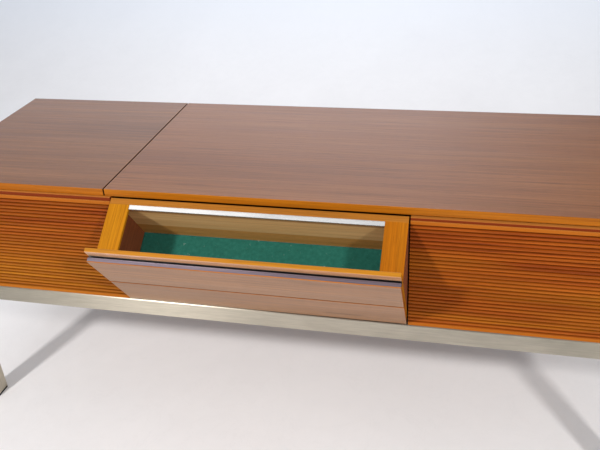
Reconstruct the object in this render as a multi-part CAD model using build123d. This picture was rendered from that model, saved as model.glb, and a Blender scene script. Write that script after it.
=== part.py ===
from build123d import *
import os
from math import sin, cos, radians, degrees, atan2, hypot

# Radio phonograph console: low walnut cabinet on a square steel tube frame,
# hinged left lid over the record deck and radio controls, long fixed top on
# the right, ribbed loudspeaker fronts and a tilting centre bin.
# Millimetres. X runs along the front, -Y is the front, Z is up, Z = 0 is the floor.
# Everything is drawn about the cabinet's own centre line and moved by Y_SHIFT at
# the end, so that the origin is the middle of the overall footprint with the bin open.

# ---- cabinet ----
LENGTH = 1550.0          # cabinet and top, left to right
DEPTH = 500.0            # top, front to back
HEIGHT = 630.0           # top surface above the floor
SLAB = 16.0              # thickness of the top slabs
BOARD = 16.0             # bottom and deck boards
SIDE = 18.0              # end panels
SEAM_X = -323.0          # seam between left lid and fixed top
SEAM = 2.4
OPEN_X = 309.0           # half width of the bin opening
PARTITION = 28.0
Z_SLAB = HEIGHT - SLAB   # underside of the top slabs
LID_GAP = 0.6            # lid above the carcass

# ---- steel frame ----
TUBE = 40.0
WALL = 2.0
FRAME_X = 784.0          # half length of the frame
FRAME_Y = 260.0          # half depth of the frame
Z_RAIL = 361.0           # top of the frame
Z_FLOOR = 378.0          # top of the bottom board
GLIDE = 6.0

# ---- ribbed loudspeaker fronts ----
RIB_PITCH = 8.32
RIBS = 28
RIB_FRONT = -258.0
RIB_DEPTH = 4.6
BAND_DEPTH = 3.0         # rebate along the top edge
GRILLE_BACK = -236.0
SLOT = 1.5
Z_RIB0 = 368.5

# ---- tilting bin, local frame: y back from the face, z up the face ----
TILT = 36.2              # open angle, degrees
BIN_X = 306.0            # half width
FACE_Y = -259.0          # lower edge of the face when open
FACE_Z = 363.0
PIV_B, PIV_U = 10.0, 5.0 # pivot in the local frame
FACE_B = 13.2            # thickness of the two face boards
PANEL_B = 22.0           # back of the lip panel
LIP_U = 244.0            # top of the lip
FACE_U = 224.0           # top of the upper face board
GROOVE_U = 110.0         # joint between the face boards
GROOVE = 4.5
RIM_U = 197.5            # top of the bin's rim
RIM_T = 6.0
BIN_B = 152.0            # back of the bin
BACK_T = 13.0
SIDE_T = 25.0
WALL_T = 17.0            # bin back wall
STRIP_W = 44.0           # width of the side rim strips
FLOOR_U = 54.0
FLOOR_T = 9.0
FELT_T = 2.0
BAND_U = 108.0           # top of the darker band on the bin's back wall
PEG_B, PEG_U, PEG_R = 120.0, 60.0, 4.0

# ---- record deck ----
SPX, SPY = -602.0, 60.0  # platter centre
ARX, ARY = -392.0, 120.0 # arm pivot
Z_DECK = 532.0           # top of the deck board
Z_PLATE = 535.0          # top of the metal deck plate
Z_PLAT = 552.0           # top of the platter
Z_MAT = 555.0
SPINDLE_R = 3.6
Z_ARM = 568.0            # arm tube axis

# ---- control panel ----
Z_PANEL = 559.0
PANEL_Y0, PANEL_Y1 = -222.0, -135.0
KNOB_Y = -179.0
KNOBS = {"tone_knob": (-492.0, 15.0), "volume_knob": (-436.0, 15.0), "tuning_knob": (-374.0, 19.0)}
BUTTON_X = (-724.0, -674.0, -624.0, -574.0)
BUTTON_Y = -204.0

CT, ST = cos(radians(TILT)), sin(radians(TILT))
LIP_R = 1.0              # rounding of the lip, which is the foremost point
Y_MIN = FACE_Y + (FACE_B + LIP_R) * CT - (LIP_U - LIP_R) * ST - LIP_R
Y_SHIFT = -(Y_MIN + FRAME_Y) / 2.0
PIV_Y = FACE_Y + PIV_B * CT - PIV_U * ST
PIV_Z = FACE_Z + PIV_B * ST + PIV_U * CT

os.makedirs("parts", exist_ok=True)
nodes = {}


def bx(x0, x1, y0, y1, z0, z1):
    """Box between two corners."""
    return Pos((x0 + x1) / 2, (y0 + y1) / 2, (z0 + z1) / 2) * Box(abs(x1 - x0), abs(y1 - y0), abs(z1 - z0))


def cz(r, x, y, z0, z1):
    """Cylinder along Z."""
    return Pos(x, y, (z0 + z1) / 2) * Cylinder(r, abs(z1 - z0))


def cx(r, y, z, x0, x1):
    """Cylinder along X."""
    return Pos((x0 + x1) / 2, y, z) * Rot(0, 90, 0) * Cylinder(r, abs(x1 - x0))


def cyl_y(r, x, z, y0, y1):
    """Cylinder along Y."""
    return Pos(x, (y0 + y1) / 2, z) * Rot(90, 0, 0) * Cylinder(r, abs(y1 - y0))


def soft(part, r):
    """Break all edges of a plain board."""
    return fillet(part.edges(), r)


def group(parts):
    out = []
    for p in parts:
        out += list(p.solids())
    return Compound(out)


def put(name, shape):
    if isinstance(shape, (list, tuple)):
        shape = group(shape)
    nodes[name] = Pos(0, Y_SHIFT, 0) * shape


def mirror_x(shape):
    return mirror(shape, Plane.YZ)


def tilt(shape):
    """Local bin frame to the cabinet, bin open."""
    return Pos(0, FACE_Y, FACE_Z) * Rot(TILT, 0, 0) * shape


# ================= steel frame =================
fx, fy, t = FRAME_X, FRAME_Y, TUBE


def tube_x(x0, x1, y0, z0):
    return soft_tube(bx(x0, x1, y0, y0 + t, z0, z0 + t), Axis.X, 2.5) - bx(x0 - 1, x1 + 1, y0 + WALL, y0 + t - WALL, z0 + WALL, z0 + t - WALL)


def soft_tube(part, axis, r):
    return fillet(part.edges().filter_by(axis), r)


def tube_y(y0, y1, x0, z0):
    return soft_tube(bx(x0, x0 + t, y0, y1, z0, z0 + t), Axis.Y, 2.5) - bx(x0 + WALL, x0 + t - WALL, y0 - 1, y1 + 1, z0 + WALL, z0 + t - WALL)


def leg(x0, y0):
    body = soft_tube(bx(x0, x0 + t, y0, y0 + t, GLIDE, Z_RAIL), Axis.Z, 2.5)
    # closed at the top by a welded cap, open below for the glide
    return body - bx(x0 + WALL, x0 + t - WALL, y0 + WALL, y0 + t - WALL, GLIDE - 1, Z_RAIL - WALL)


put("frame_front_rail", tube_x(-fx + t, fx - t, -fy, Z_RAIL - t))
put("frame_rear_rail", tube_x(-fx + t, fx - t, fy - t, Z_RAIL - t))
put("frame_side_rails", [tube_y(-fy + t, fy - t, -fx, Z_RAIL - t), tube_y(-fy + t, fy - t, fx - t, Z_RAIL - t)])
corners = [(-fx, -fy), (fx - t, -fy), (-fx, fy - t), (fx - t, fy - t)]
put("frame_legs", [leg(x, y) for x, y in corners])


def glide(x0, y0):
    pad = fillet(bx(x0 + 0.5, x0 + t - 0.5, y0 + 0.5, y0 + t - 0.5, 0, GLIDE).edges().filter_by(Axis.Z), 2.0)
    plug = bx(x0 + WALL + 0.1, x0 + t - WALL - 0.1, y0 + WALL + 0.1, y0 + t - WALL - 0.1, GLIDE, 22)
    return pad + plug


put("foot_glides", [glide(x, y) for x, y in corners])

# ================= carcass =================
hx = LENGTH / 2
ix = hx - SIDE
REAR = 245.0
px0 = OPEN_X + PARTITION
put("bottom_board", bx(-ix, ix, GRILLE_BACK, REAR, Z_RAIL, Z_FLOOR))
z_low = Z_SLAB - LID_GAP
put("end_panel_left", soft(bx(-hx, -ix, -250, REAR, Z_RAIL, z_low), 0.8))
put("end_panel_right", soft(bx(ix, hx, -250, REAR, Z_RAIL, Z_SLAB), 0.8))

# curved stop groove for the bin's peg, cut into each partition
prx, pru = PEG_B - PIV_B, PEG_U - PIV_U
PEG_RAD = hypot(prx, pru)
PEG_A = degrees(atan2(pru, prx))


def arc_groove(x0, x1):
    """Arc-shaped groove about the pivot, from the closed to the open peg position."""
    w = PEG_R + 0.3
    n = 12
    shape = None
    from_a, to_a = PEG_A - 0.15, PEG_A + TILT + 0.15
    ring = cx(PEG_RAD + w, PIV_Y, PIV_Z, x0, x1) - cx(PEG_RAD - w, PIV_Y, PIV_Z, x0 - 1, x1 + 1)
    far = 400.0
    a0, a1 = radians(from_a), radians(to_a)
    am = (a0 + a1) / 2
    pts = [(PIV_Y, PIV_Z), (PIV_Y + far * cos(a0), PIV_Z + far * sin(a0)), (PIV_Y + far * 1.1 * cos(am), PIV_Z + far * 1.1 * sin(am)), (PIV_Y + far * cos(a1), PIV_Z + far * sin(a1))]
    wedge = extrude(Plane(origin=(x0, 0, 0), x_dir=(0, 1, 0), z_dir=(1, 0, 0)) * make_face(Polyline(*pts, close=True)), x1 - x0)
    shape = ring & wedge
    for a in (a0, a1):
        shape = shape + cx(w, PIV_Y + PEG_RAD * cos(a), PIV_Z + PEG_RAD * sin(a), x0, x1)
    return shape


groove_r = arc_groove(OPEN_X - 0.01, OPEN_X + 13.0)
div_r = bx(OPEN_X, px0, GRILLE_BACK, REAR, Z_FLOOR, Z_SLAB) - groove_r
div_l = mirror_x(div_r) - bx(-px0 - 1, SEAM_X, GRILLE_BACK - 1, REAR + 1, z_low, Z_SLAB + 1)
put("divider_right", div_r)
put("divider_left", div_l)

AX_Y, AX_Z, KN_R = 247.6, 611.4, 2.4      # lid hinge axis and knuckle radius
rail_l = bx(-ix, -px0, 227, REAR, 560, 611.5)
rail_c = bx(-OPEN_X, OPEN_X, 227, REAR, 560, Z_SLAB)
rail_r = bx(px0, ix, 227, REAR, 560, Z_SLAB)
put("rear_top_rails", [rail_l, rail_c, rail_r])

# back panel with vent slots and a cut-out for the sockets
BP0, BP1 = 245.0, 250.0
back = fillet(bx(-770, 770, BP0, BP1, 366, 590).edges().filter_by(Axis.Y), 4)
vents = []
for xc in (-560, 0, 560):
    for i in range(-8, 9):
        if xc == 0 or xc > 0 or abs(i) < 9:
            x = xc + i * 14.0
            vents.append(bx(x - 2.5, x + 2.5, BP0 - 1, BP1 + 1, 500, 556))
            if xc != 0:
                vents.append(bx(x - 2.5, x + 2.5, BP0 - 1, BP1 + 1, 400, 456) if not (-500 < x < -330) else bx(x - 2.5, x + 2.5, BP0 - 1, BP1 + 1, 500, 556))
back = back - group(vents) - bx(-452, -358, BP0 - 1, BP1 + 1, 404, 446)
put("back_panel", back)
screw_xy = [(x, z) for z in (371, 585) for x in (-764, -460, -323, 0, 323, 764)]
screws = []
for x, z in screw_xy:
    head = cyl_y(4.0, x, z, BP1, BP1 + 2.0) - bx(x - 3.4, x + 3.4, BP1 + 1.2, BP1 + 3, z - 0.5, z + 0.5)
    screws.append(head)
put("back_panel_screws", screws)

put("fixed_top", soft(bx(SEAM_X + SEAM / 2, hx, -250, 250, Z_SLAB, HEIGHT), 0.9))
put("left_lid", soft(bx(-hx, SEAM_X - SEAM / 2, -250, 250, Z_SLAB, HEIGHT), 0.9))

# ================= ribbed fronts =================


def ribbed(x0, x1, z_top, slots):
    """Horizontally ribbed board; profile in (Y, Z) drawn out along X."""
    f, d = RIB_FRONT, RIB_FRONT + RIB_DEPTH
    pts = [(GRILLE_BACK, Z_RAIL), (f, Z_RAIL)]
    z = Z_RIB0
    for i in range(RIBS):
        # groove: floor 1.8 high, sloped flanks, broken crown edges
        pts += [(f, z), (f + 0.6, z + 0.6), (d, z + 1.6), (d, z + 3.4), (f + 0.6, z + 4.4), (f, z + 5.0)]
        z += RIB_PITCH
    # wide land, then a rebate along the top edge
    pts += [(f, 604.6), (f + 0.4, 605.0), (f + BAND_DEPTH, 605.2)]
    pts += [(f + BAND_DEPTH, z_top - 0.6), (f + BAND_DEPTH + 0.6, z_top), (GRILLE_BACK, z_top)]
    face = Plane(origin=(x0, 0, 0), x_dir=(0, 1, 0), z_dir=(1, 0, 0)) * make_face(Polyline(*pts, close=True))
    board = extrude(face, x1 - x0)
    cuts = []
    for i in range(RIBS):
        zc = Z_RIB0 + i * RIB_PITCH + 2.5
        for a, b in slots:
            cuts.append(bx(a, b, d - 0.5, GRILLE_BACK + 1, zc - SLOT / 2, zc + SLOT / 2))
    return board - group(cuts)


segs = [(345, 472), (484, 610), (622, 745)]
put("grille_right", ribbed(OPEN_X, ix, Z_SLAB - 3.0, segs))
put("grille_left", ribbed(-ix, -OPEN_X, z_low, [(-b, -a) for a, b in segs]))

# cloth and baffles behind the ribbed fronts
put("grille_cloths", [bx(-ix + 0.5, -px0 - 0.5, GRILLE_BACK, GRILLE_BACK + 1.2, 379, 555), bx(px0 + 0.5, ix - 0.5, GRILLE_BACK, GRILLE_BACK + 1.2, 379, 598)])
BA0, BA1 = GRILLE_BACK + 1.2, GRILLE_BACK + 13.2
WX, WZ, TX, TZ = 670.0, 446.0, 560.0, 446.0


def baffle(sign, z_top):
    b = bx(-ix, -px0, BA0, BA1, Z_FLOOR, z_top) if sign < 0 else bx(px0, ix, BA0, BA1, Z_FLOOR, z_top)
    return b - cyl_y(56, sign * WX, WZ, BA0 - 1, BA1 + 1) - cyl_y(24, sign * TX, TZ, BA0 - 1, BA1 + 1)


put("speaker_baffles", [baffle(-1, 556.0), baffle(1, 598.0)])


def spun(pts, x, z, y):
    """Closed (radius, depth) profile turned about the Y axis direction."""
    face = make_face(Polyline(*[(r, h) for r, h in pts], close=True))
    body = revolve(Plane.XZ * face, Axis.Z)
    return Pos(x, y, z) * Rot(-90, 0, 0) * body


def woofer(x):
    basket = spun([(56.5, 0), (66, 0), (66, 3), (59, 3), (30, 38), (30, 40), (16, 40), (16, 38), (26, 38), (55, 3), (56.5, 3)], x, WZ, BA1)
    cuts = []
    for k in range(4):
        cuts.append(Pos(x, BA1, WZ) * Rot(0, 45 + 90 * k, 0) * bx(-11, 11, 8, 32, 20, 70))
    basket = basket - group(cuts)
    magnet = cyl_y(34, x, WZ, BA1 + 40, BA1 + 56) + cyl_y(20, x, WZ, BA1 + 56, BA1 + 60)
    return basket + magnet


def tweeter(x):
    can = spun([(23, 0), (32, 0), (32, 2.5), (25, 2.5), (25, 24), (0, 24), (0, 21), (23, 21)], x, TZ, BA1)
    return can


put("loudspeaker_chassis", [woofer(-WX), woofer(WX), tweeter(-TX), tweeter(TX)])


def cone(x, z, r, depth, rc):
    return spun([(0, depth), (rc, depth - 2), (r - 4, 3.0), (r - 1, 1.0), (r - 1, 2.2), (r - 3.6, 4.4), (rc + 0.5, depth - 0.6), (0, depth + 1.4)], x, z, BA1)


put("loudspeaker_cones", [cone(-WX, WZ, 54, 34, 16), cone(WX, WZ, 54, 34, 16), cone(-TX, TZ, 22, 16, 7), cone(TX, TZ, 22, 16, 7)])

# ================= tilting bin (drawn closed in its local frame) =================
X = BIN_X
RECESS = [bx(X - 4.5, X + 1, 2.0, PANEL_B + 1, -1, 12), bx(-X - 1, -X + 4.5, 2.0, PANEL_B + 1, -1, 12)]
PIN_R = 2.5
bores = [cx(PIN_R + 0.06, PIV_B, PIV_U, X - 20, X), cx(PIN_R + 0.06, PIV_B, PIV_U, -X, -X + 20)]
cut = group(RECESS)
panel = fillet(bx(-X, X, FACE_B, PANEL_B, 0, LIP_U).edges().filter_by(Axis.X).sort_by(Axis.Z)[-2:], LIP_R) - cut
put("bin_front_panel", tilt(panel))
lower = bx(-X, X, 0, FACE_B, 0, GROOVE_U - GROOVE / 2)
lower = chamfer(lower.edges().filter_by(Axis.X).sort_by(Axis.Y)[:2], 0.6) - cut - bores[0] - bores[1]
put("bin_lower_board", tilt(lower))
upper = bx(-X, X, 0, FACE_B, GROOVE_U + GROOVE / 2, FACE_U)
upper = chamfer(upper.edges().filter_by(Axis.X).sort_by(Axis.Y)[:2], 0.6)
upper = upper - bx(-X - 1, X + 1, 1.8, FACE_B + 1, FACE_U - 12, FACE_U + 1)
put("bin_upper_board", tilt(upper))
# metal pull channel: ledge over the board's edge, dark slot behind it
ch = bx(-X, X, 1.8, 9.4, FACE_U - 1.6, FACE_U) + bx(-X, X, 8.0, 9.4, FACE_U - 12, FACE_U) + bx(-X, X, 8.0, FACE_B, FACE_U - 12, FACE_U - 10.6) + bx(-X, X, 12.4, FACE_B, FACE_U - 12, FACE_U - 0.4)
put("bin_pull_channel", tilt(ch))
side_r = bx(X - SIDE_T, X, PANEL_B, BIN_B, 14, RIM_U - RIM_T)
put("bin_side_walls", [tilt(side_r), tilt(mirror_x(side_r))])
xi = X - SIDE_T
fu = FLOOR_U + FLOOR_T
WALL_B = BIN_B - WALL_T
put("bin_back_wall", tilt(bx(-xi, xi, WALL_B, BIN_B, 40, RIM_U - RIM_T) - bx(-xi - 1, xi + 1, WALL_B - 1, WALL_B + 4, fu, BAND_U)))
put("bin_floor", tilt(bx(-xi, xi, PANEL_B, WALL_B, FLOOR_U, FLOOR_U + FLOOR_T)))
put("bin_felt", tilt(bx(-xi + 0.5, xi - 0.5, PANEL_B + 0.5, WALL_B - 0.5, fu, fu + FELT_T)))
put("bin_back_batten", tilt(bx(-xi, xi, WALL_B, WALL_B + 4, fu, BAND_U)))
rs = bx(X - STRIP_W, X, PANEL_B, BIN_B - BACK_T, RIM_U - RIM_T, RIM_U)
rb = bx(-X, X, BIN_B - BACK_T, BIN_B, RIM_U - RIM_T, RIM_U)
put("bin_rim", [tilt(rs), tilt(mirror_x(rs)), tilt(rb)])
xs = X - STRIP_W
yb = BIN_B - BACK_T
put("bin_alu_trim", tilt(bx(-xs, xs, yb - 9.5, yb, RIM_U - 2.2, RIM_U - 0.8) + bx(-xs, xs, yb - 9.5, yb - 8.1, RIM_U - 3.9, RIM_U - 0.8) + bx(-xs, xs, yb - 1.4, yb, RIM_U - RIM_T + 0.1, RIM_U - 0.8)))
peg = cx(PEG_R, PEG_B, PEG_U, X, X + 13.0) + cx(7.0, PEG_B, PEG_U, X, X + 1.2)
put("bin_stop_pegs", [tilt(peg), tilt(mirror_x(peg))])

# fixed pivot brackets, standing on the frame in the recesses of the face
pb = bx(X - 3.8, X - 0.8, PIV_Y - 3.0, PIV_Y + 3.0, Z_RAIL, PIV_Z + 1.0) + cx(3.0, PIV_Y, PIV_Z, X - 3.8, X - 0.8)
pb = pb + bx(X - 22, X - 0.8, PIV_Y + 1.0, GRILLE_BACK - 0.2, Z_RAIL, Z_RAIL + 2.0) + cx(PIN_R, PIV_Y, PIV_Z, X - 19, X - 3.8)
put("bin_pivot_brackets", [pb, mirror_x(pb)])

# ================= lid hinge (piano hinge) =================
HX0, HX1 = -750.0, -345.0
SEGN = 9
seg = (HX1 - HX0) / SEGN
base_leaf = bx(HX0, HX1, REAR, REAR + 1.2, 594, 608.6)
lid_leaf = bx(HX0, HX1, 222, REAR, Z_SLAB - 1.2, Z_SLAB)
for i in range(SEGN):
    a, b = HX0 + i * seg + 0.15, HX0 + (i + 1) * seg - 0.15
    if i % 2 == 0:
        base_leaf = base_leaf + bx(a, b, REAR, REAR + 1.2, 608, AX_Z) + cx(KN_R, AX_Y, AX_Z, a, b) - cx(1.25, AX_Y, AX_Z, a - 1, b + 1)
    else:
        lid_leaf = lid_leaf + bx(a, b, 244, AX_Y + 0.6, Z_SLAB - 1.2, Z_SLAB - 0.3) + cx(KN_R, AX_Y, AX_Z, a, b)
lid_leaf = lid_leaf + cx(1.2, AX_Y, AX_Z, HX0, HX1)
put("lid_hinge_base_leaf", base_leaf)
put("lid_hinge_lid_leaf", lid_leaf)

# ================= record deck =================
CUT = (-738.0, -438.0, -82.0, 204.0)
deck = bx(-ix, -px0, -150, 227, Z_DECK - BOARD, Z_DECK) - bx(CUT[0], CUT[1], CUT[2], CUT[3], Z_DECK - BOARD - 1, Z_DECK + 1)
put("deck_board", deck)
plate = fillet(bx(-749, -345, -118, 212, Z_DECK, Z_PLATE).edges().filter_by(Axis.Z), 12)
plate = plate + cz(13, SPX, SPY, 512, Z_DECK + 0.5) - cz(6.05, SPX, SPY, 500, 560)
put("deck_plate", plate)
pl = cz(135, SPX, SPY, 541, Z_PLAT) - (cz(129, SPX, SPY, 540, 549) - cz(20, SPX, SPY, 539, 550))
pl = fillet(pl.edges().filter_by(GeomType.CIRCLE).sort_by(Axis.Z)[-1:], 1.5)
pl = pl + cz(6.0, SPX, SPY, 514, 541.5) + cz(SPINDLE_R, SPX, SPY, 550, 569) + Pos(SPX, SPY, 569.0) * Cone(SPINDLE_R, 1.2, 4.0, align=(Align.CENTER, Align.CENTER, Align.MIN))
put("platter", pl)
mat = cz(132, SPX, SPY, Z_PLAT, Z_MAT) - cz(SPINDLE_R + 1.6, SPX, SPY, Z_PLAT - 1, Z_MAT + 1)
for r in (52, 72, 92, 112):
    mat = mat - (cz(r + 2.0, SPX, SPY, Z_MAT - 1.0, Z_MAT + 1) - cz(r - 2.0, SPX, SPY, Z_MAT - 1.5, Z_MAT + 1.5))
put("platter_mat", mat)

base = cz(24, ARX, ARY, Z_PLATE, Z_PLATE + 6) + cz(11, ARX, ARY, Z_PLATE + 6, 558) - cz(3.05, ARX, ARY, 540, 560)
put("tonearm_base", base)
yoke = cz(3.0, ARX, ARY, 541, 559) + cz(9, ARX, ARY, 558.6, 561) + bx(ARX - 9.5, ARX + 9.5, ARY - 6, ARY + 6, 560.5, 562.6)
for s in (-1, 1):
    yoke = yoke + bx(ARX + s * 7.4, ARX + s * 9.5, ARY - 6, ARY + 6, 562, 574)
yoke = yoke - cx(1.56, ARY, Z_ARM, ARX - 12, ARX + 12)
put("tonearm_yoke", yoke)
arm = cyl_y(4.0, ARX, Z_ARM, ARY - 206, ARY + 50) + bx(ARX - 6.5, ARX + 6.5, ARY - 5, ARY + 5, Z_ARM - 4.5, Z_ARM + 4.5)
arm = arm + cyl_y(11, ARX, Z_ARM, ARY + 27, ARY + 48) + cx(1.5, ARY, Z_ARM, ARX - 9.3, ARX + 9.3)
head = Pos(ARX, ARY - 202, 0) * Rot(0, 0, -22) * (bx(-9, 9, -34, 2, Z_ARM - 4, Z_ARM - 1) + bx(-5.5, 5.5, -28, -6, 558.5, Z_ARM - 3.5) + Pos(0, -23, 558.6) * Cone(0.4, 1.6, 3.0, align=(Align.CENTER, Align.CENTER, Align.MAX)) + bx(-0.8, 0.8, -46, -33, Z_ARM - 3.4, Z_ARM - 2.0))
arm = arm + head
put("tonearm", arm)
rest_y = ARY - 176
rest = cz(5, ARX + 2, rest_y, Z_PLATE, 560) + cz(10, ARX + 2, rest_y, Z_PLATE, Z_PLATE + 2) + bx(ARX - 4, ARX + 8, rest_y - 4, rest_y + 4, 559, 563.5)
hook = bx(ARX + 4.6, ARX + 8, rest_y - 4, rest_y + 4, 563.5, 571)
put("arm_rest", [rest, hook])
lever = cz(9, -452, -98, Z_PLATE + 0.3, Z_PLATE + 6) + bx(-455, -449, -98, -68, Z_PLATE + 2, Z_PLATE + 5) + cz(4, -452, -70, Z_PLATE + 2, Z_PLATE + 13)
put("speed_lever", lever)
motor = cz(31, -690, 150, 478, 520) + cz(12, -690, 150, 470, 478) + bx(-718, -662, 145, 155, 520, Z_DECK) + cz(3, -690, 150, 466, 472)
put("motor", motor)

# ================= control panel =================
panel = bx(-ix + 0.5, -px0 - 0.5, PANEL_Y0 - 12.8, PANEL_Y1, Z_PANEL - 3, Z_PANEL) + bx(-ix + 0.5, -px0 - 0.5, PANEL_Y1 - 2, PANEL_Y1, Z_DECK, Z_PANEL)
DW = (-744.0, -534.0, -176.0, -146.0)
panel = panel - bx(DW[0], DW[1], DW[2], DW[3], Z_PANEL - 4, Z_PANEL + 1)
for n, (kx, kr) in KNOBS.items():
    panel = panel - cz(3.06, kx, KNOB_Y, Z_PANEL - 4, Z_PANEL + 1)
for x in BUTTON_X:
    panel = panel - bx(x - 17.4, x + 17.4, BUTTON_Y - 7.4, BUTTON_Y + 7.4, Z_PANEL - 4, Z_PANEL + 1)
put("control_panel", panel)
put("dial_glass", bx(DW[0] + 0.2, DW[1] - 0.2, DW[2] + 0.2, DW[3] - 0.2, Z_PANEL - 2.4, Z_PANEL - 0.2))
tuner = bx(-752, -345, -218, -152, 520, 548) - bx(-749, -348, -215, -155, 519, 546)
put("tuner_chassis", tuner)
PTX = (DW[0] + DW[1]) / 2
put("dial_pointer", bx(PTX - 0.9, PTX + 0.9, DW[2] + 2, DW[3] - 2, 551.4, 553.2) + bx(PTX - 4, PTX + 4, DW[3] - 6, DW[3] - 1, 548.6, 551.8))
for n, (kx, kr) in KNOBS.items():
    k = Pos(kx, KNOB_Y, Z_PANEL + 0.6) * Cone(kr, kr - 1.2, 15.4, align=(Align.CENTER, Align.CENTER, Align.MIN))
    k = fillet(k.edges().filter_by(GeomType.CIRCLE).sort_by(Axis.Z)[-1:], 1.2)
    k = k - bx(kx - 0.7, kx + 0.7, KNOB_Y + kr - 8, KNOB_Y + kr + 2, Z_PANEL + 15.2, Z_PANEL + 17)
    k = k + cz(3.0, kx, KNOB_Y, 549, Z_PANEL + 1)
    put(n, k)
for i, x in enumerate(BUTTON_X):
    b = bx(x - 17, x + 17, BUTTON_Y - 7, BUTTON_Y + 7, 553.4, 568)
    b = fillet(b.edges().group_by(Axis.Z)[-1], 1.2)
    b = b + bx(x - 18.4, x + 18.4, BUTTON_Y - 8.4, BUTTON_Y + 8.4, 553.4, 555.4)
    put("push_button_%d" % (i + 1), b)

# ================= electrics =================
amp = bx(500, 700, 60, 200, 378, 381) + bx(500, 503, 60, 200, 378, 440) + bx(697, 700, 60, 200, 378, 440)
for i in range(7):
    y = 70 + i * 20
    amp = amp + bx(700, 716, y - 1.5, y + 1.5, 381, 436)
amp = amp + bx(520, 660, 76, 184, 390, 391.6) + bx(524, 528, 80, 84, 380, 392) + bx(652, 656, 176, 180, 380, 392) + cz(12, 560, 110, 391, 426) + cz(12, 600, 110, 391, 426) + cz(9, 560, 150, 391, 418)
put("amplifier_chassis", amp)
tr = bx(392, 472, 110, 140, 382, 446) + bx(404, 460, 96, 154, 394, 434) + bx(384, 480, 112, 138, 378, 382.5)
put("power_transformer", tr)
DIN = (-438.0, -416.0, -394.0)
plate = bx(-460, -350, 250, 252, 397, 453) - bx(-382.5, -361.5, 240, 254, 417, 433)
for x in DIN:
    plate = plate - cyl_y(9.5, x, 425, 249, 253)
inlet = bx(-382.5, -361.5, 236, 252, 417, 433) - bx(-380.5, -363.5, 240, 254, 419, 431)
sp = [plate, inlet] + [cyl_y(9.5, x, 425, 238, 254) - cyl_y(6.8, x, 425, 244, 256) for x in DIN]
put("rear_socket_panel", Compound(children=sp))

for name, shape in nodes.items():
    shape.label = name
    export_step(shape, "parts/%s.step" % name)
print(len(nodes), "nodes; y shift", round(Y_SHIFT, 4), "pivot", round(PIV_Y + Y_SHIFT, 4), round(PIV_Z, 4))
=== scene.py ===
import bpy, bmesh, math, random
from mathutils import Matrix, Vector
from math import sin, cos, radians, pi


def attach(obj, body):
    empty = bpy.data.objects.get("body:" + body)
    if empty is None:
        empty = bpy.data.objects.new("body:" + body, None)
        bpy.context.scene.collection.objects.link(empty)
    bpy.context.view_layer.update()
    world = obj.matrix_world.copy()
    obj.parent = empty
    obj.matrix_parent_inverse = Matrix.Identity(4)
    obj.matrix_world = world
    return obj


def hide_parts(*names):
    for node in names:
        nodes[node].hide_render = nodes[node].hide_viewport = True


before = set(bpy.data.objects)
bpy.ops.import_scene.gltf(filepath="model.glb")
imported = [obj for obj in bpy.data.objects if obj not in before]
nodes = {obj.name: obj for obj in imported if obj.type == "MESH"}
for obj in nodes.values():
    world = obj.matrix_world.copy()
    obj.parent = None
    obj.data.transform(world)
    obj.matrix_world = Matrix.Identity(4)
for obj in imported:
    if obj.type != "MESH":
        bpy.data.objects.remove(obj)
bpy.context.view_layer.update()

rnd = random.Random(7)

# Cabinet frame to row frame: the cabinet's centre line sits YS behind the origin.
YS = 0.0660292
TILT = 36.2
CT, ST = cos(radians(TILT)), sin(radians(TILT))
FACE_Y, FACE_Z = -0.259 + YS, 0.363


def tilt_pt(x, b, u):
    """Bin's own frame (millimetres back, up) to the row frame in metres, bin open."""
    return Vector((x / 1000, FACE_Y + (b * CT - u * ST) / 1000, FACE_Z + (b * ST + u * CT) / 1000))


# ------------------------------------------------------------------ node helpers
def srgb(r, g, b, a=1.0):
    f = lambda c: (c / 255 / 12.92) if c / 255 <= 0.04045 else ((c / 255 + 0.055) / 1.055) ** 2.4
    return (f(r), f(g), f(b), a)


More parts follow.
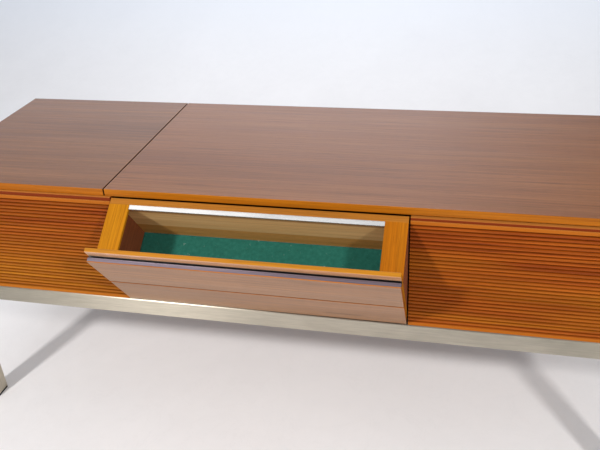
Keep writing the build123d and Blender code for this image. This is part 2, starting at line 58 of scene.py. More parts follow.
class M:
    """Small wrapper to build a procedural material."""

    def __init__(self, name, rough=0.5, metal=0.0, ior=1.5, coat=0.0, coat_rough=0.2, spec=0.5):
        self.m = bpy.data.materials.new(name)
        self.m.use_nodes = True
        self.t = self.m.node_tree
        self.b = self.t.nodes["Principled BSDF"]
        self.b.inputs["Roughness"].default_value = rough
        self.b.inputs["Metallic"].default_value = metal
        self.b.inputs["IOR"].default_value = ior
        self.b.inputs["Coat Weight"].default_value = coat
        self.b.inputs["Coat Roughness"].default_value = coat_rough
        self.b.inputs["Specular IOR Level"].default_value = spec
        self.tc = self.t.nodes.new("ShaderNodeTexCoord")

    def n(self, kind, **kw):
        nd = self.t.nodes.new(kind)
        for k, v in kw.items():
            setattr(nd, k, v)
        return nd

    def link(self, a, b):
        self.t.links.new(a, b)

    def coord(self, scale=(1, 1, 1), rot=(0, 0, 0), loc=(0, 0, 0)):
        """Object coordinates, turned, then scaled."""
        r = self.n("ShaderNodeMapping")
        r.vector_type = "POINT"
        r.inputs["Rotation"].default_value = rot
        r.inputs["Location"].default_value = loc
        self.link(self.tc.outputs["Object"], r.inputs["Vector"])
        s = self.n("ShaderNodeVectorMath", operation="MULTIPLY")
        self.link(r.outputs[0], s.inputs[0])
        s.inputs[1].default_value = scale
        return s.outputs[0]

    def noise(self, vec, scale=1.0, detail=3.0, rough=0.55, dist=0.0, lac=2.0):
        nd = self.n("ShaderNodeTexNoise")
        nd.inputs["Scale"].default_value = scale
        nd.inputs["Detail"].default_value = detail
        nd.inputs["Roughness"].default_value = rough
        nd.inputs["Distortion"].default_value = dist
        nd.inputs["Lacunarity"].default_value = lac
        self.link(vec, nd.inputs["Vector"])
        return nd.outputs[0]

    def ramp(self, fac, stops, interp="LINEAR"):
        nd = self.n("ShaderNodeValToRGB")
        nd.color_ramp.interpolation = interp
        e = nd.color_ramp.elements
        while len(e) < len(stops):
            e.new(0.5)
        for i, (p, c) in enumerate(stops):
            e[i].position = p
            e[i].color = c if len(c) == 4 else (*c, 1)
        self.link(fac, nd.inputs[0])
        return nd.outputs[0]

    def maprange(self, v, a, b, c, d, clamp=True):
        nd = self.n("ShaderNodeMapRange")
        nd.clamp = clamp
        self.link(v, nd.inputs[0])
        for i, x in zip((1, 2, 3, 4), (a, b, c, d)):
            nd.inputs[i].default_value = x
        return nd.outputs[0]

    def math(self, op, a, b=None, c=None, clamp=False):
        nd = self.n("ShaderNodeMath", operation=op)
        nd.use_clamp = clamp
        for i, x in enumerate((a, b, c)):
            if x is None:
                continue
            if hasattr(x, "links"):
                self.link(x, nd.inputs[i])
            else:
                nd.inputs[i].default_value = x
        return nd.outputs[0]

    def mix(self, fac, a, b, mode="MIX"):
        nd = self.n("ShaderNodeMix", data_type="RGBA", blend_type=mode)
        for sock, x in ((nd.inputs[0], fac), (nd.inputs[6], a), (nd.inputs[7], b)):
            if hasattr(x, "links"):
                self.link(x, sock)
            else:
                sock.default_value = x if not isinstance(x, tuple) or len(x) == 4 else (*x, 1)
        return nd.outputs[2]

    def sep(self, vec):
        nd = self.n("ShaderNodeSeparateXYZ")
        self.link(vec, nd.inputs[0])
        return nd.outputs

    def bu(self):
        """Distance back and up in the bin's own tilted frame, metres, as sockets."""
        q = self.sep(self.coord((1, 1, 1), ROT["B"]))
        return (self.math("SUBTRACT", q[1], FACE_Y * CT + FACE_Z * ST), self.math("SUBTRACT", q[2], FACE_Z * CT - FACE_Y * ST))

    def bump(self, height, strength=0.3, dist=0.0005, prev=None):
        nd = self.n("ShaderNodeBump")
        nd.inputs["Strength"].default_value = strength
        nd.inputs["Distance"].default_value = dist
        self.link(height, nd.inputs["Height"])
        if prev is not None:
            self.link(prev, nd.inputs["Normal"])
        return nd.outputs[0]

    def out(self, color=None, rough=None, normal=None, metallic=None):
        if color is not None:
            if hasattr(color, "links"):
                self.link(color, self.b.inputs["Base Color"])
            else:
                self.b.inputs["Base Color"].default_value = color if len(color) == 4 else (*color, 1)
        if rough is not None:
            self.link(rough, self.b.inputs["Roughness"])
        if normal is not None:
            self.link(normal, self.b.inputs["Normal"])
        if metallic is not None:
            self.link(metallic, self.b.inputs["Metallic"])
        return self.m


ROT = {"X": (0, 0, 0), "Y": (0, 0, radians(-90)), "Z": (0, radians(90), 0), "B": (radians(-TILT), 0, 0), "Bgrain": (radians(-TILT), 0, radians(-90)), "U": (radians(-TILT), 0, 0)}


def wood_pattern(m, rot, seed, base, dark, light, streak=1.0, pore=1.0, wide_k=0.55):
    """Colour and height of straight-grained veneer, grain along the turned X axis."""
    ox, oy, oz = seed * 1.37, seed * 0.71, seed * 2.13
    wide = m.noise(m.coord((0.45, 9.0, 9.0), rot, (ox, oy, oz)), 1.0, 3.0, 0.5, 0.5)
    mid = m.noise(m.coord((1.1, 60.0, 60.0), rot, (oy, oz, ox)), 1.0, 4.0, 0.62, 0.7)
    fine = m.noise(m.coord((3.6, 330.0, 330.0), rot, (oz, ox, oy)), 1.0, 3.0, 0.6, 0.2)
    fleck = m.noise(m.coord((7.0, 190.0, 190.0), rot, (oz, oy, ox)), 1.0, 3.0, 0.6, 0.3)
    pores = m.noise(m.coord((38.0, 1500.0, 1500.0), rot, (ox, oz, oy)), 1.0, 1.0, 0.5)
    c = m.ramp(wide, [(0.32, dark), (0.50, base), (0.70, light)])
    c2 = m.ramp(mid, [(0.33, dark), (0.50, base), (0.66, light)])
    c = m.mix(1.0 - wide_k, c, c2)
    lines = m.maprange(fine, 0.34, 0.66, 1.0 - 0.26 * streak, 1.0 + 0.16 * streak)
    lc = m.n("ShaderNodeCombineColor")
    for i in range(3):
        m.link(lines, lc.inputs[i])
    c = m.mix(0.9, c, lc.outputs[0], "MULTIPLY")
    c = m.mix(m.maprange(fleck, 0.60, 0.72, 0.0, 0.42 * streak), c, tuple(x * 0.45 for x in dark[:3]))
    c = m.mix(m.maprange(pores, 0.60, 0.72, 0.0, 0.5 * pore), c, tuple(x * 0.38 for x in dark[:3]))
    height = m.math("SUBTRACT", m.math("MULTIPLY", fine, 0.5), m.maprange(pores, 0.56, 0.72, 0.0, 1.0))
    return c, height, mid


def wood(name, grain="X", seed=1.0, base=None, dark=None, light=None, edge=None, face=None, rough=0.40, bump=0.22, streak=1.0, pore=1.0, coat=0.0, spec=0.3, wide_k=0.55, seam=None):
    """Lacquered wood. edge, if given, is a (base, dark, light) set for the faces that are not the veneered ones."""
    m = M(name, rough=rough, coat=coat, spec=spec)
    c, h, mid = wood_pattern(m, ROT[grain], seed, base, dark, light, streak, pore, wide_k)
    if edge is not None:
        ce, he, _ = wood_pattern(m, ROT[grain], seed + 3.3, *edge, streak=0.8, pore=0.6)
        d = m.n("ShaderNodeVectorMath", operation="DOT_PRODUCT")
        m.link(m.tc.outputs["Normal"], d.inputs[0])
        d.inputs[1].default_value = face
        k = m.maprange(m.math("ABSOLUTE", d.outputs[1]), 0.80, 0.97, 0.0, 1.0)
        c = m.mix(k, ce, c)
        if coat:
            m.link(m.math("MULTIPLY", k, coat), m.b.inputs["Coat Weight"])
        if seam is not None:
            # painted shade: the two faces that meet at the joint are hardly lit and dirty, so the colour near the joint
            # is darkened
            dx = m.math("ABSOLUTE", m.math("SUBTRACT", m.sep(m.tc.outputs["Object"])[0], seam))
            c = m.mix(m.maprange(dx, 0.0013, 0.0019, 0.95, 0.0), c, (0.022, 0.010, 0.006))
    r = m.maprange(mid, 0.3, 0.7, rough - 0.05, rough + 0.07)
    return m.out(c, r, m.bump(h, bump, 0.00025))


# ------------------------------------------------------------------ colours
W_TOP = ((0.275, 0.106, 0.040), (0.205, 0.074, 0.027), (0.330, 0.138, 0.054))
W_TOPL = ((0.260, 0.108, 0.042), (0.185, 0.072, 0.028), (0.320, 0.140, 0.056))
W_EDGE = ((0.420, 0.125, 0.003), (0.340, 0.092, 0.002), (0.490, 0.165, 0.005))
W_RIB = ((0.310, 0.058, 0.004), (0.195, 0.026, 0.003), (0.400, 0.095, 0.006))
W_FACE = ((0.340, 0.160, 0.072), (0.260, 0.120, 0.052), (0.400, 0.200, 0.096))
# the lip face's pale, pinkish colour is partly the wood and partly painted sheen
W_LIP = ((0.640, 0.330, 0.165), (0.420, 0.150, 0.050), (0.780, 0.460, 0.270))
W_RIM = ((0.490, 0.185, 0.003), (0.390, 0.130, 0.002), (0.570, 0.240, 0.006))
# the back strip's colour is partly the wood and partly painted shade from the slab above it
W_RIMB = ((0.380, 0.135, 0.014), (0.300, 0.098, 0.010), (0.450, 0.175, 0.022))

mats = {}


def mat(key, fn, *a, **k):
    if key not in mats:
        mats[key] = fn(key, *a, **k)
    return mats[key]


def rim_mat(name):
    """Side strips with the grain running back, back strip with the grain along it and darkened with painted shade from
    the slab above.
    """
    m = M(name, rough=0.48, spec=0.1)
    cs, hs, mid = wood_pattern(m, ROT["Bgrain"], 15.0, *W_RIM, streak=0.9, pore=0.8)
    cb, hb, _ = wood_pattern(m, ROT["B"], 16.0, *W_RIMB, streak=0.8, pore=0.8)
    b = m.sep(m.coord((1, 1, 1), ROT["B"]))[1]
    # the turned Y of the joint between the side strips and the back strip
    yj = (FACE_Y * CT + FACE_Z * ST) + 0.139
    k = m.maprange(b, yj - 0.0002, yj + 0.0002, 0.0, 1.0)
    # the right strip is the redder one
    x = m.sep(m.tc.outputs["Object"])[0]
    tint = m.maprange(x, -0.1, 0.2, 0.0, 1.0)
    cs = m.mix(tint, cs, m.mix(1.0, cs, (0.80, 0.62, 0.35), "MULTIPLY"))
    return m.out(m.mix(k, cs, cb), m.maprange(mid, 0.3, 0.7, 0.44, 0.54), m.bump(hs, 0.2, 0.00025))


top_l = wood("walnut_lid", "X", 1.0, *W_TOPL, edge=W_EDGE, face=(0, 0, 1), rough=0.36, coat=0.9, spec=0.15, seam=-0.323)
top_r = wood("walnut_top", "X", 4.0, *W_TOP, edge=W_EDGE, face=(0, 0, 1), rough=0.36, coat=0.9, spec=0.15, seam=-0.323)
end_m = wood("walnut_end", "Z", 6.0, *W_TOP, edge=W_EDGE, face=(1, 0, 0), rough=0.38)
face_up = wood("walnut_face_upper", "B", 8.0, *W_FACE, edge=W_EDGE, face=(0, CT, ST), rough=0.36, spec=0.5)


def lip_mat(name):
    """Front panel: veneered face made pale partly with painted sheen, golden edge, painted shade (near black) inside
    the slot under it.
    """
    m = M(name, rough=0.42, spec=0.3)
    cf, hf, _ = wood_pattern(m, ROT["B"], 13.0, *W_LIP, streak=1.3, pore=1.0)
    ce, he, _ = wood_pattern(m, ROT["B"], 14.3, *W_RIM, streak=0.8, pore=0.6)
    d = m.n("ShaderNodeVectorMath", operation="DOT_PRODUCT")
    m.link(m.tc.outputs["Normal"], d.inputs[0])
    d.inputs[1].default_value = (0, CT, ST)
    k = m.maprange(m.math("ABSOLUTE", d.outputs[1]), 0.55, 0.9, 0.0, 1.0)
    b, u = m.bu()
    # painted shade: inside the slot under the lip the colour is near black
    slot = m.math("MULTIPLY", m.maprange(u, 0.2240, 0.2246, 1.0, 0.0), m.maprange(b, 0.0150, 0.0152, 1.0, 0.0))
    slot = m.math("MULTIPLY", slot, m.maprange(u, 0.205, 0.206, 0.0, 1.0))
    c = m.mix(slot, m.mix(k, ce, cf), (0.010, 0.006, 0.005))
    return m.out(c, None, m.bump(hf, 0.22, 0.00025))


def low_mat(name):
    """Lower board, with one short dark streak near its foot and painted shade along its top edge."""
    m = M(name, rough=0.36, spec=0.5)
    cf, hf, mid = wood_pattern(m, ROT["B"], 11.0, *W_FACE)
    ce, he, _ = wood_pattern(m, ROT["B"], 14.3, *W_EDGE, streak=0.8, pore=0.6)
    d = m.n("ShaderNodeVectorMath", operation="DOT_PRODUCT")
    m.link(m.tc.outputs["Normal"], d.inputs[0])
    d.inputs[1].default_value = (0, CT, ST)
    k = m.maprange(m.math("ABSOLUTE", d.outputs[1]), 0.80, 0.97, 0.0, 1.0)
    b, u = m.bu()
    x = m.sep(m.tc.outputs["Object"])[0]
    wob = m.maprange(m.noise(m.coord((30, 30, 30), (0, 0, 0), (2, 8, 5)), 1.0, 3.0), 0.3, 0.7, -0.0012, 0.0012)
    du = m.math("ABSOLUTE", m.math("ADD", m.math("SUBTRACT", u, 0.0300), wob))
    mark = m.math("MULTIPLY", m.maprange(du, 0.0012, 0.0032, 1.0, 0.0), m.math("MULTIPLY", m.maprange(x, 0.128, 0.150, 0.0, 1.0), m.maprange(x, 0.205, 0.232, 1.0, 0.0)))
    # painted shade: the top edge of the lower board, inside the groove under the upper board, is darkened
    painted_joint_shade = m.math("MULTIPLY", m.maprange(u, 0.1068, 0.1072, 0.0, 1.0), m.maprange(b, 0.0006, 0.0012, 0.0, 1.0))
    c = m.mix(painted_joint_shade, m.mix(k, ce, cf), (0.110, 0.036, 0.008))
    c = m.mix(m.math("MULTIPLY", mark, 0.75), c, (0.060, 0.022, 0.008))
    return m.out(c, m.maprange(mid, 0.3, 0.7, 0.31, 0.43), m.bump(hf, 0.22, 0.00025))


def rib_mat(name, seed, yellow):
    """Ribbed board: red-brown to yellow-brown crowns, yellower low down with painted light, painted shade in the
    grooves and the dark red rebate, painted highlights on the top edge, the land and the foot.
    """
    m = M(name, rough=0.48, spec=0.12)
    c, h, mid = wood_pattern(m, ROT["X"], seed, *W_RIB, streak=1.3, pore=0.8, wide_k=0.25)
    o = m.sep(m.tc.outputs["Object"])
    blot = m.noise(m.coord((1.6, 14.0, 14.0), (0, 0, 0), (seed, 2, 1)), 1.0, 3.0, 0.5)
    # painted light: the crowns turn yellower towards the bottom by the amount yellow; the blot noise adds yellow
    # patches at random
    painted_low_light = m.maprange(o[2], 0.40, 0.57, yellow, 0.0)
    cy, _, _ = wood_pattern(m, ROT["X"], seed + 5.1, (0.370, 0.110, 0.004), (0.260, 0.062, 0.002), (0.490, 0.185, 0.008), streak=1.2, pore=0.6, wide_k=0.25)
    c = m.mix(m.math("ADD", painted_low_light, m.maprange(blot, 0.48, 0.68, 0.0, 0.55), clamp=True), c, cy)
    # painted shade: the colour darkens deeper into the grooves
    back = m.maprange(o[1], -0.258 + YS + 0.0008, -0.258 + YS + 0.0042, 0.0, 0.50)
    c = m.mix(back, c, (0.090, 0.017, 0.002))
    # painted highlight: upward-facing faces at the top of the board are made bright orange
    nz = m.sep(m.tc.outputs["Normal"])[2]
    top = m.math("MULTIPLY", m.maprange(nz, 0.5, 0.8, 0.0, 1.0), m.maprange(o[2], 0.6030, 0.6040, 0.0, 1.0))
    # painted shade: the rebate under the top edge is made dark red
    painted_rebate_shade = m.math("MULTIPLY", m.maprange(o[2], 0.6050, 0.6054, 0.0, 1.0), m.maprange(o[1], -0.258 + YS + 0.0022, -0.258 + YS + 0.0027, 0.0, 1.0))
    c = m.mix(painted_rebate_shade, c, (0.185, 0.026, 0.003))
    c = m.mix(top, c, (0.480, 0.170, 0.030))
    # painted highlight: the land under the rebate and the strip at the foot are made brighter orange
    painted_land_highlight = m.math("MULTIPLY", m.maprange(o[2], 0.5980, 0.5984, 0.0, 1.0), m.maprange(o[2], 0.6046, 0.6050, 1.0, 0.0))
    foot = m.maprange(o[2], 0.3680, 0.3686, 1.0, 0.0)
    c = m.mix(m.math("MULTIPLY", m.math("ADD", painted_land_highlight, foot, clamp=True), 0.7), c, (0.440, 0.125, 0.006))
    return m.out(c, m.maprange(mid, 0.3, 0.7, 0.44, 0.54), m.bump(h, 0.22, 0.00025))


def pull_mat(name):
    """Aluminium ledge, purple-grey with painted reflection, with painted shade (near black, not metallic) inside the
    slot.
    """
    m = M(name, rough=0.34, metal=1.0)
    b, u = m.bu()
    # painted shade: inside the slot the colour is near black and the metal is turned off
    k = m.maprange(b, 0.0088, 0.0092, 0.0, 1.0)
    n = m.noise(m.coord((6.0, 700.0, 700.0), ROT["B"], (3, 1, 2)), 1.0, 3.0, 0.6)
    # painted reflection: the purple-grey tint of the metal stands for the surroundings it reflects
    c = m.mix(k, m.ramp(n, [(0.35, (0.25, 0.215, 0.275)), (0.65, (0.33, 0.29, 0.36))]), (0.010, 0.009, 0.010))
    return m.out(c, m.maprange(n, 0.3, 0.7, 0.30, 0.40), m.bump(n, 0.15, 0.0002), m.maprange(b, 0.0088, 0.0092, 1.0, 0.0))


lip_m = lip_mat("lip_wood")
face_lo = low_mat("walnut_face_lower")
pull_m = pull_mat("aluminium_pull_ledge")
rim_m = rim_mat("rim_wood")
# the left board gets much more of the painted light low down than the right one
rib_l = rib_mat("rib_wood_left", 17.0, 0.8)
rib_r = rib_mat("rib_wood_right", 21.0, 0.15)
W_SIDE = ((0.230, 0.062, 0.020), (0.160, 0.040, 0.013), (0.290, 0.090, 0.030))
side_m = wood("bin_side_wood", "Bgrain", 25.0, *W_SIDE, rough=0.5, spec=0.4)
backw_m = wood("bin_back_plywood", "B", 27.0, (0.86, 0.56, 0.24), (0.74, 0.45, 0.18), (0.94, 0.66, 0.32), rough=0.5, streak=0.5, pore=0.4)
batten_m = wood("bin_back_band", "B", 29.0, (0.66, 0.33, 0.08), (0.56, 0.26, 0.06), (0.74, 0.40, 0.12), rough=0.5, streak=0.5)
plain_m = wood("plain_board", "X", 31.0, srgb(150, 112, 74), srgb(124, 88, 56), srgb(172, 136, 96), rough=0.6, pore=0.5)
hard_m = wood("hardboard", "X", 33.0, srgb(104, 72, 46), srgb(92, 62, 40), srgb(116, 82, 54), rough=0.62, streak=0.3, pore=0.2)


def brushed(name, color, grain="X", rough=0.3, bump=0.35, metal=1.0, vary=0.08, aniso=0.0):
    """Brushed metal: fine lines along one axis as bump, with slow stains."""
    m = M(name, rough=rough, metal=metal)
    rot = ROT[grain]
    if aniso:
        # the tangent goes round the brushing direction, so reflections smear across it
        m.b.inputs["Anisotropic"].default_value = aniso
        tg = m.n("ShaderNodeTangent", direction_type="RADIAL", axis=grain)
        m.link(tg.outputs[0], m.b.inputs["Tangent"])
    a = m.noise(m.coord((2.5, 1400.0, 1400.0), rot), 1.0, 2.0, 0.6)
    b = m.noise(m.coord((18.0, 380.0, 380.0), rot, (3, 1, 2)), 1.0, 3.0, 0.6)
    h = m.math("ADD", a, m.math("MULTIPLY", b, 0.7))
    blot = m.noise(m.coord((4, 9, 9), (0, 0, 0), (1, 5, 2)), 1.0, 4.0, 0.6, 0.4)
    dark = tuple(c * (1 - 2.2 * vary) for c in color[:3])
    c = m.ramp(blot, [(0.35, dark), (0.62, color[:3])])
    lines = m.maprange(b, 0.3, 0.7, 0.90, 1.08)
    lc = m.n("ShaderNodeCombineColor")
    for i in range(3):
        m.link(lines, lc.inputs[i])
    c = m.mix(1.0, c, lc.outputs[0], "MULTIPLY")
    r = m.maprange(blot, 0.35, 0.65, rough + 0.07, rough - 0.03)
    return m.out(c, r, m.bump(h, bump, 0.0002))


STEEL = (0.54, 0.49, 0.40)
steel_x = brushed("nickel_tube_x", STEEL, "X", 0.38, 0.12, aniso=0.92)
steel_y = brushed("nickel_tube_y", STEEL, "Y", 0.46, 0.12, aniso=0.88)
steel_z = brushed("nickel_tube_z", STEEL, "Z", 0.46, 0.12, aniso=0.88)
zinc = brushed("zinc_steel", srgb(170, 172, 172), "X", 0.42, 0.15)
alu_x = brushed("aluminium_panel", srgb(214, 212, 208), "X", 0.30, 0.25, vary=0.03)
alu_trim = brushed("aluminium_trim", srgb(226, 225, 224), "X", 0.42, 0.25, vary=0.03, metal=0.9, aniso=0.5)
# painted reflection: the lilac tint of this aluminium stands for the surroundings it reflects
alu_pull = brushed("aluminium_pull", srgb(176, 168, 180), "X", 0.34, 0.2, vary=0.05)
brass = brushed("brass_hinge", srgb(196, 160, 88), "X", 0.35, 0.2)


def plastic(name, color, rough=0.4, bump=0.08, scale=900.0, vary=0.06):
    m = M(name, rough=rough)
    a = m.noise(m.coord((scale,) * 3), 1.0, 3.0, 0.6)
    b = m.noise(m.coord((30,) * 3, (0, 0, 0), (2, 3, 1)), 1.0, 3.0, 0.6)
    c = m.ramp(b, [(0.3, tuple(x * (1 - 2 * vary) for x in color[:3])), (0.7, tuple(min(1, x * (1 + vary)) for x in color[:3]))])
    return m.out(c, m.maprange(b, 0.3, 0.7, rough + 0.05, rough - 0.05), m.bump(a, bump, 0.0001))


rubber = plastic("black_rubber", srgb(30, 30, 31), 0.75, 0.25, 1400)
black = plastic("black_plastic", srgb(26, 26, 28), 0.42)
ivory = plastic("ivory_plastic", srgb(216, 208, 184), 0.28, 0.03)
red = plastic("red_plastic", srgb(196, 36, 24), 0.3, 0.03)
enamel = plastic("grey_enamel", srgb(70, 70, 70), 0.38, 0.22, 420)
paper = plastic("cone_paper", srgb(52, 48, 44), 0.9, 0.5, 700)
chrome = brushed("chrome", srgb(226, 228, 230), "X", 0.10, 0.02, vary=0.01)


def glass(name):
    m = M(name, rough=0.04, ior=1.5)
    m.b.inputs["Transmission Weight"].default_value = 0.92
    n = m.noise(m.coord((60, 60, 60)), 1.0, 2.0)
    return m.out(srgb(236, 240, 238), m.maprange(n, 0.3, 0.7, 0.03, 0.07))


dial_glass = glass("dial_glass_clear")


def weave(name, c1, c2, pitch=0.0011, rough=0.9, bump=0.6):
    m = M(name, rough=rough, spec=0.2)
    f = 2 * pi / pitch
    s = m.sep(m.tc.outputs["Object"])
    sx = m.math("SINE", m.math("MULTIPLY", s[0], f))
    sz = m.math("SINE", m.math("MULTIPLY", s[2], f))
    p = m.math("MULTIPLY", sx, sz)
    n = m.noise(m.coord((40, 40, 40)), 1.0, 4.0)
    c = m.ramp(m.math("ADD", m.math("MULTIPLY", p, 0.25), n), [(0.3, c1), (0.75, c2)])
    m.b.inputs["Sheen Weight"].default_value = 0.2
    return m.out(c, None, m.bump(p, bump, 0.0003))


cloth_m = weave("speaker_cloth", srgb(46, 30, 20), srgb(74, 52, 36))


def felt_mat(name):
    m = M(name, rough=0.95, spec=0.12)
    fib = m.noise(m.coord((620, 620, 620)), 1.0, 4.0, 0.7, 2.0)
    mid = m.noise(m.coord((130, 130, 130), (0, 0, 0), (4, 1, 7)), 1.0, 4.0, 0.65)
    big = m.noise(m.coord((6, 9, 9), (0, 0, 0), (1, 2, 3)), 1.0, 2.0, 0.5)
    c = m.ramp(mid, [(0.30, (0.013, 0.112, 0.083)), (0.55, (0.018, 0.143, 0.107)), (0.78, (0.030, 0.178, 0.134))])
    c = m.mix(m.maprange(fib, 0.3, 0.75, 0.0, 0.35), c, (0.010, 0.062, 0.044))
    c = m.mix(m.maprange(big, 0.4, 0.7, 0.0, 0.16), c, (0.012, 0.075, 0.052))
    lint = m.noise(m.coord((230, 230, 230), (0, 0, 0), (9, 3, 5)), 1.0, 2.0, 0.5, 1.2)
    c = m.mix(m.maprange(lint, 0.742, 0.765, 0.0, 0.6), c, (0.50, 0.58, 0.50))
    m.b.inputs["Sheen Weight"].default_value = 0.15
    m.b.inputs["Sheen Roughness"].default_value = 0.5
    return m.out(c, None, m.bump(m.math("ADD", fib, mid), 0.7, 0.0008))


felt_m = felt_mat("green_felt")

# ------------------------------------------------------------------ materials on the CAD nodes


def dial_mat(name):
    """Zinc chassis whose top, under the glass, carries a dark scale with pale tick marks."""
    m = M(name, rough=0.45, metal=0.0)
    o = m.sep(m.tc.outputs["Object"])
    n = m.noise(m.coord((60, 60, 60)), 1.0, 4.0, 0.6)
    base = m.ramp(n, [(0.35, (0.36, 0.37, 0.37)), (0.65, (0.44, 0.45, 0.45))])
    inside = m.math("MULTIPLY", m.math("MULTIPLY", m.maprange(o[0], -0.7440, -0.7436, 0.0, 1.0), m.maprange(o[0], -0.5344, -0.5340, 1.0, 0.0)),
                    m.math("MULTIPLY", m.maprange(o[1], -0.1765 + YS, -0.1760 + YS, 0.0, 1.0), m.maprange(o[1], -0.1460 + YS, -0.1455 + YS, 1.0, 0.0)))
    ticks = None
    for pitch, wide, y0, y1 in ((0.0050, 0.06, -0.1660, -0.1625), (0.0250, 0.024, -0.1680, -0.1600), (0.0070, 0.05, -0.1575, -0.1545)):
        f = m.math("ABSOLUTE", m.math("SUBTRACT", m.math("FRACT", m.math("DIVIDE", o[0], pitch)), 0.5))
        t = m.math("MULTIPLY", m.maprange(f, wide * 0.8, wide * 1.2, 1.0, 0.0), m.math("MULTIPLY", m.maprange(o[1], y0 + YS, y0 + 0.0002 + YS, 0.0, 1.0), m.maprange(o[1], y1 + YS, y1 + 0.0002 + YS, 1.0, 0.0)))
        ticks = t if ticks is None else m.math("MAXIMUM", ticks, t)
    ln = m.maprange(m.math("ABSOLUTE", m.math("SUBTRACT", o[1], -0.1600 + YS)), 0.0002, 0.0004, 1.0, 0.0)
    ticks = m.math("MAXIMUM", ticks, ln)
    scale = m.mix(ticks, (0.020, 0.022, 0.024), (0.80, 0.74, 0.58))
    return m.out(m.mix(inside, base, scale), m.maprange(n, 0.3, 0.7, 0.40, 0.50), m.bump(n, 0.1, 0.0002))


def knob_mat(name):
    """Turned aluminium knob: concentric turning lines and one dark pointer mark in front."""
    m = M(name, rough=0.28, metal=1.0)
    g = m.sep(m.tc.outputs["Generated"])
    gx = m.math("SUBTRACT", g[0], 0.5)
    gy = m.math("SUBTRACT", g[1], 0.5)
    r = m.math("SQRT", m.math("ADD", m.math("MULTIPLY", gx, gx), m.math("MULTIPLY", gy, gy)))
    rings = m.math("SINE", m.math("MULTIPLY", r, 260.0))
    n = m.noise(m.coord((300, 300, 300)), 1.0, 2.0, 0.6)
    c = m.ramp(m.math("ADD", m.math("MULTIPLY", rings, 0.08), n), [(0.3, (0.58, 0.57, 0.55)), (0.7, (0.72, 0.71, 0.69))])
    mark = m.math("MULTIPLY", m.maprange(m.math("ABSOLUTE", gx), 0.030, 0.036, 1.0, 0.0), m.math("MULTIPLY", m.maprange(gy, -0.10, -0.12, 0.0, 1.0), m.maprange(g[2], 0.85, 0.9, 0.0, 1.0)))
    return m.out(m.mix(mark, c, (0.02, 0.02, 0.02)), m.maprange(n, 0.3, 0.7, 0.24, 0.34), m.bump(m.math("ADD", rings, n), 0.12, 0.0001), m.math("SUBTRACT", 1.0, mark))


dial_m = dial_mat("dial_scale_chassis")
knob_m = knob_mat("turned_knob")

NODE_MAT = {
    "frame_front_rail": steel_x, "frame_rear_rail": steel_x, "frame_side_rails": steel_y, "frame_legs": steel_z, "foot_glides": rubber,
    "bottom_board": plain_m, "end_panel_left": end_m, "end_panel_right": end_m, "divider_left": plain_m, "divider_right": plain_m, "rear_top_rails": plain_m,
    "back_panel": hard_m, "back_panel_screws": zinc, "fixed_top": top_r, "left_lid": top_l,
    "grille_left": rib_l, "grille_right": rib_r, "grille_cloths": cloth_m, "speaker_baffles": plain_m, "loudspeaker_chassis": enamel, "loudspeaker_cones": paper,
    "bin_front_panel": lip_m, "bin_upper_board": face_up, "bin_lower_board": face_lo, "bin_pull_channel": pull_m,
    "bin_side_walls": side_m, "bin_back_wall": backw_m, "bin_floor": plain_m, "bin_felt": felt_m, "bin_back_batten": batten_m, "bin_rim": rim_m, "bin_alu_trim": alu_trim,
    "bin_stop_pegs": zinc, "bin_pivot_brackets": zinc, "lid_hinge_base_leaf": brass, "lid_hinge_lid_leaf": brass,
    "deck_board": plain_m, "deck_plate": enamel, "platter": alu_x, "platter_mat": rubber, "tonearm_base": chrome, "tonearm_yoke": chrome, "tonearm": alu_x,
    "arm_rest": black, "speed_lever": black, "motor": zinc, "control_panel": alu_x, "dial_glass": dial_glass, "dial_pointer": red,
    "tuning_knob": knob_m, "volume_knob": knob_m, "tone_knob": knob_m, "push_button_1": ivory, "push_button_2": ivory, "push_button_3": ivory, "push_button_4": ivory,
    "tuner_chassis": dial_m, "amplifier_chassis": zinc, "power_transformer": enamel, "rear_socket_panel": black,
}
for name, m in NODE_MAT.items():
    o = nodes[name]
    o.data.materials.clear()
    o.data.materials.append(m)

BEVEL = {"bin_rim": 0.0005, "bin_side_walls": 0.0006, "bin_back_wall": 0.0004, "bin_alu_trim": 0.0006, "bin_pull_channel": 0.0003, "bin_back_batten": 0.0004,
         "bottom_board": 0.0005, "back_panel": 0.0005, "divider_left": 0.0005, "divider_right": 0.0005, "deck_board": 0.0005, "control_panel": 0.0003}
for name, w in BEVEL.items():
    bv = nodes[name].modifiers.new("edge", "BEVEL")
    bv.width = w
    bv.segments = 2
    bv.limit_method = "ANGLE"
    bv.angle_limit = radians(50)
    bv.harden_normals = False

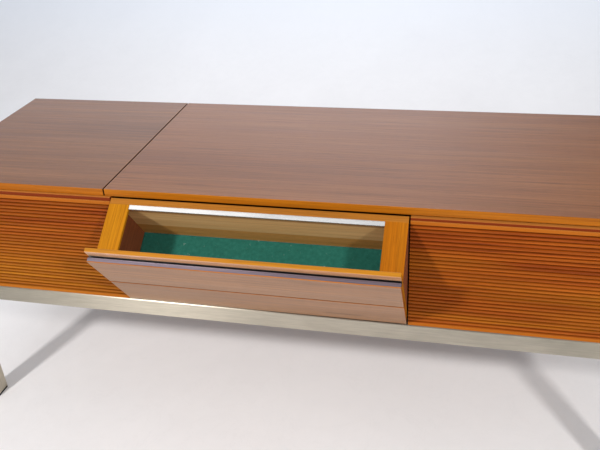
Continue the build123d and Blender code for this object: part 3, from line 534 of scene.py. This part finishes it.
# ------------------------------------------------------------------ soft pieces
def slab_cloth(name, origin, ex, ey, ez, w, l, t, nx, ny, amp, material, seed):
    """Thin sheet of nx by ny cells with a soft, uneven surface; top along +ez."""
    r = random.Random(seed)
    ph = [(r.uniform(0, 6.28), r.uniform(0, 6.28), r.uniform(0.6, 1.4)) for _ in range(4)]
    me = bpy.data.meshes.new(name)
    bm = bmesh.new()
    top, bot = [], []
    for j in range(ny + 1):
        for i in range(nx + 1):
            a, b = i / nx, j / ny
            e = min(a * w, (1 - a) * w, b * l, (1 - b) * l)
            k = min(1.0, e / 0.004)
            h = sum(sin(a * 9 * q * w / 0.2 + p1) * sin(b * 5 * q + p2) for p1, p2, q in ph) / 4
            round_down = (1 - math.sqrt(max(0.0, 1 - (1 - k) ** 2))) * 0.45 * t
            fuzz = r.uniform(-1, 1) * amp * 0.25
            top.append(bm.verts.new(origin + ex * (a * w) + ey * (b * l) + ez * (t - amp + (h * amp + fuzz) * k * 0.8 - round_down)))
            bot.append(bm.verts.new(origin + ex * (a * w) + ey * (b * l)))
    n = nx + 1
    for j in range(ny):
        for i in range(nx):
            q = (j * n + i, j * n + i + 1, (j + 1) * n + i + 1, (j + 1) * n + i)
            bm.faces.new([top[v] for v in q])
            bm.faces.new([bot[v] for v in reversed(q)])
    ring = [i for i in range(n)] + [j * n + nx for j in range(1, ny + 1)] + [ny * n + i for i in range(nx - 1, -1, -1)] + [j * n for j in range(ny - 1, 0, -1)]
    for a, b in zip(ring, ring[1:] + ring[:1]):
        bm.faces.new((bot[a], bot[b], top[b], top[a]))
    bmesh.ops.recalc_face_normals(bm, faces=bm.faces)
    bm.to_mesh(me)
    bm.free()
    for p in me.polygons:
        p.use_smooth = True
    o = bpy.data.objects.new(name, me)
    bpy.context.scene.collection.objects.link(o)
    me.materials.append(material)
    return o


FX, FB0, FB1 = 280.5, 22.5, 134.5
felt = slab_cloth("felt_lining", tilt_pt(-FX, FB0, 63), Vector((1, 0, 0)), Vector((0, CT, ST)), Vector((0, -ST, CT)), 2 * FX / 1000, (FB1 - FB0) / 1000, 0.002, 280, 56, 0.00028, felt_m, 3)
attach(felt, "bin")
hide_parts("bin_felt")

for key, x0, z1 in (("left", -0.7565, 0.555), ("right", 0.3375, 0.598)):
    c = slab_cloth("speaker_cloth_" + key, Vector((x0, -0.2348 + YS, 0.379)), Vector((1, 0, 0)), Vector((0, 0, 1)), Vector((0, -1, 0)), 0.419, z1 - 0.379, 0.0012, 120, 60, 0.0001, cloth_m, 5)
    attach(c, "cabinet")
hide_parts("grille_cloths")

# ------------------------------------------------------------------ stage, lights, camera
def floor_mat():
    m = M("floor_sheet", rough=0.75, spec=0.25)
    a = m.noise(m.coord((1.6, 1.6, 1.6)), 1.0, 5.0, 0.6, 0.6)
    b = m.noise(m.coord((22, 22, 22), (0, 0, 0), (3, 1, 0)), 1.0, 4.0, 0.65)
    d = m.noise(m.coord((5.5, 5.5, 5.5), (0, 0, 0), (7, 2, 4)), 1.0, 6.0, 0.7, 1.4)
    c = m.ramp(a, [(0.3, (0.88, 0.855, 0.86)), (0.7, (0.93, 0.905, 0.91))])
    c = m.mix(m.maprange(b, 0.3, 0.7, 0.0, 0.10), c, (0.76, 0.74, 0.745))
    c = m.mix(m.maprange(m.math("ABSOLUTE", m.math("SUBTRACT", d, 0.5)), 0.0, 0.012, 0.10, 0.0), c, (0.68, 0.66, 0.66))
    # the roll turns bluer and cleaner up the wall, and the room's shade falls on its upper right
    p = m.sep(m.tc.outputs["Object"])
    up = m.maprange(p[2], 0.02, 0.5, 0.0, 1.0)
    c = m.mix(up, c, (0.80, 0.84, 0.92))
    shade = m.math("MULTIPLY", m.maprange(p[0], 0.1, 1.5, 0.0, 1.0), m.maprange(p[2], 0.6, 1.3, 0.0, 1.0))
    c = m.mix(m.math("MULTIPLY", shade, 0.85), c, (0.10, 0.10, 0.11))
    # painted shade: the roll darkens higher up the wall
    c = m.mix(m.maprange(p[2], 1.5, 3.0, 0.0, 0.6), c, (0.20, 0.19, 0.18))
    return m.out(c, None, m.bump(b, 0.1, 0.002))


def stage_floor():
    """Floor that curves up into a pale wall behind the cabinet."""
    me = bpy.data.meshes.new("studio_floor")
    bm = bmesh.new()
    prof = [(-6.0, 0.0), (1.7, 0.0)]
    for i in range(1, 13):
        a = radians(90 * i / 12)
        prof.append((1.7 + 1.4 * sin(a), 1.4 - 1.4 * cos(a)))
    prof.append((3.1, 5.0))
    rows = [[bm.verts.new((x, y, z)) for x in (-9.0, -3.0, 3.0, 9.0)] for y, z in prof]
    for r0, r1 in zip(rows, rows[1:]):
        for i in range(3):
            bm.faces.new((r0[i], r0[i + 1], r1[i + 1], r1[i]))
    bm.to_mesh(me)
    bm.free()
    for p in me.polygons:
        p.use_smooth = True
    o = bpy.data.objects.new("studio_floor", me)
    bpy.context.scene.collection.objects.link(o)
    me.materials.append(floor_mat())
    return o


stage_floor()


def area(name, loc, target, size, power, color=(1, 1, 1)):
    ld = bpy.data.lights.new(name, "AREA")
    ld.shape = "SQUARE"
    ld.size = size
    ld.energy = power
    ld.color = color
    o = bpy.data.objects.new(name, ld)
    o.location = loc
    d = Vector(target) - Vector(loc)
    o.rotation_euler = d.to_track_quat("-Z", "Y").to_euler()
    bpy.context.scene.collection.objects.link(o)
    return o


area("light_left", (-1.36, -2.28 + YS, 2.21), (0.0, 0.0, 0.45), 0.22, 54, (1.0, 0.985, 0.965))
area("light_right", (1.87, -2.20 + YS, 2.2), (0.1, 0.0, 0.45), 0.26, 44, (1.0, 0.985, 0.965))
area("light_backdrop", (-0.3, 0.9, 3.0), (-0.35, 3.0, 0.9), 1.2, 38, (0.96, 0.98, 1.0))

w = bpy.data.worlds.new("studio")
bpy.context.scene.world = w
w.use_nodes = True
w.node_tree.nodes["Background"].inputs[0].default_value = (0.90, 0.95, 1.0, 1)
w.node_tree.nodes["Background"].inputs[1].default_value = 0.44

R = [[0.9733890188546392, 0.22269882135686736, -0.05402826056301588],
     [0.06565132549659607, -0.4968882513028003, -0.8653276657878134],
     [-0.21955345917052424, 0.8387534206687374, -0.498286040224638]]
right, down, fwd = (Vector(r) for r in R)
cam = bpy.data.cameras.new("camera")
cam.lens = 723.33 / 600 * 36
cam.sensor_width = 36
cam.clip_start = 0.01
co = bpy.data.objects.new("camera", cam)
mw = Matrix((right, -down, -fwd)).transposed().to_4x4()
mw.translation = Vector((1.062686798 / 0.9 - 0.775, -1.078438813 / 0.9 - 0.25 + YS, 0.591858839 / 0.9 + 0.63))
co.matrix_world = mw
bpy.context.scene.collection.objects.link(co)
bpy.context.scene.camera = co

vs = bpy.context.scene.view_settings
vs.view_transform = "Standard"
vs.look = "None"
vs.exposure = 0.0
vs.gamma = 1.0
